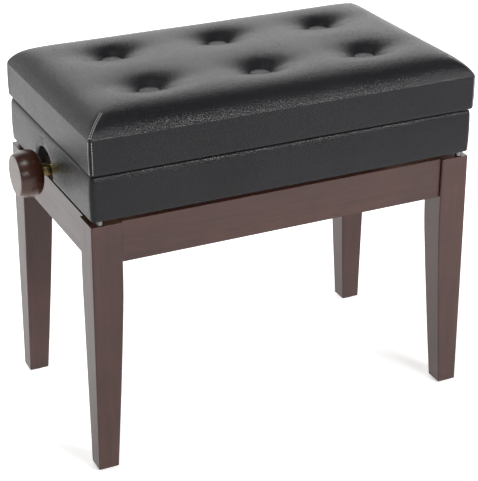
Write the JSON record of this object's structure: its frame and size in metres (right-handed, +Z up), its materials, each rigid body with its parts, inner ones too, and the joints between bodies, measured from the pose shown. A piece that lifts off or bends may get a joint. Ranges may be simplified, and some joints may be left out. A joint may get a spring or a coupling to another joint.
{
  "type": "piano bench",
  "caption": "Height-adjustable piano bench with a tufted lid that opens over a music box, wooden side knobs, a scissor lift and tapered wooden legs.",
  "frame": {"origin": "on the floor, under the middle of the bench", "axes": "+Z up, front towards -Y, left end towards -X, long side along X"},
  "size_m": [0.641, 0.3279, 0.506],
  "materials": {
    "walnut": "dark reddish-brown stain under satin lacquer",
    "raw_wood": "planed, unfinished",
    "plywood": "plywood, unfinished",
    "vinyl": "black leatherette with a fine leather grain",
    "foam": "open-cell upholstery foam",
    "steel": "plain bright steel",
    "black_steel": "black powder coat",
    "brass": "brass-plated, polished",
    "plastic": "moulded, matte"
  },
  "bodies": {
    "frame": {"leg_front_left": "walnut", "leg_front_right": "walnut", "leg_rear_left": "walnut", "leg_rear_right": "walnut", "glide_front_left": "plastic", "glide_front_right": "plastic", "glide_rear_left": "plastic", "glide_rear_right": "plastic", "corner_block_front_left": "raw_wood", "corner_block_front_right": "raw_wood", "corner_block_rear_left": "raw_wood", "corner_block_rear_right": "raw_wood", "bumper_stud_front_left": "steel", "bumper_stud_front_right": "steel", "bumper_stud_rear_left": "steel", "bumper_stud_rear_right": "steel", "apron_front": "walnut", "apron_rear": "walnut", "apron_left": "walnut", "apron_right": "walnut", "cross_rail_left": "raw_wood", "cross_rail_right": "raw_wood", "base_channel_front": "black_steel", "base_channel_rear": "black_steel", "shaft_bracket_left": "black_steel", "shaft_bracket_right": "black_steel"},
    "seat_box": {"box_cover": "vinyl", "box_wall_front": "plywood", "box_wall_rear": "plywood", "box_wall_left": "plywood", "box_wall_right": "plywood", "box_floor": "plywood", "top_channel_front": "black_steel", "top_channel_rear": "black_steel", "hinge_leaf_box": "brass", "hinge_pin": "steel"},
    "lid": {"lid_board": "plywood", "seat_cover": "vinyl", "foam_pad": "foam", "button_front_left": "vinyl", "button_front_middle": "vinyl", "button_front_right": "vinyl", "button_rear_left": "vinyl", "button_rear_middle": "vinyl", "button_rear_right": "vinyl", "hinge_leaf_lid": "brass", "stay_bracket": "brass"},
    "outer_arms": {"lift_arm_outer_front": "steel", "lift_arm_outer_rear": "steel"},
    "inner_arms": {"lift_arm_inner_front": "steel", "lift_arm_inner_rear": "steel"},
    "nut_carriage": {"nut_block": "brass", "travelling_cross_shaft": "steel"},
    "drive": {"drive_shaft": "steel", "knob_left": "walnut", "knob_right": "walnut", "shaft_collar_left": "brass", "shaft_collar_right": "brass"},
    "stay_long": {"stay_link_long": "brass"},
    "stay_short": {"stay_link_short": "brass"}
  },
  "joints": [
    {"name": "seat_lift", "type": "slide", "parent": "frame", "child": "seat_box", "axis": [0, 0, 1], "range_m": [0, 0.08]},
    {"name": "outer_arm_swing", "type": "hinge", "parent": "frame", "child": "outer_arms", "pos_m": [-0.114, 0, 0.352], "axis": [0, -1, 0], "range_deg": [0, 21.3]},
    {"name": "inner_arm_swing", "type": "hinge", "parent": "seat_box", "child": "inner_arms", "pos_m": [-0.114, 0, 0.387], "axis": [0, 1, 0], "range_deg": [0, 21.3]},
    {"name": "nut_travel", "type": "slide", "parent": "frame", "child": "nut_carriage", "axis": [1, 0, 0], "range_m": [-0.0283, 0]},
    {"name": "knob_turn", "type": "hinge", "parent": "frame", "child": "drive", "pos_m": [0, 0, 0.376], "axis": [1, 0, 0], "range_deg": [0, 2535]},
    {"name": "lid_hinge", "type": "hinge", "parent": "seat_box", "child": "lid", "pos_m": [0, 0.162, 0.42625], "axis": [-1, 0, 0], "range_deg": [0, 80]},
    {"name": "stay_long_swing", "type": "hinge", "parent": "seat_box", "child": "stay_long", "pos_m": [0.254, 0.112, 0.4155], "axis": [-1, 0, 0], "range_deg": [0, 80]},
    {"name": "stay_short_swing", "type": "hinge", "parent": "lid", "child": "stay_short", "pos_m": [0.251, 0.027, 0.42025], "axis": [1, 0, 0], "range_deg": [0, 80]}
  ],
  "couplings": [
    {"joint": "outer_arm_swing", "follows": "seat_lift", "rad_per_m": 4.6354},
    {"joint": "inner_arm_swing", "follows": "seat_lift", "rad_per_m": 4.6354},
    {"joint": "nut_travel", "follows": "seat_lift", "ratio": -0.35169},
    {"joint": "knob_turn", "follows": "seat_lift", "rad_per_m": 552.44},
    {"joint": "stay_long_swing", "follows": "lid_hinge", "ratio": 1},
    {"joint": "stay_short_swing", "follows": "lid_hinge", "ratio": 1}
  ]
}
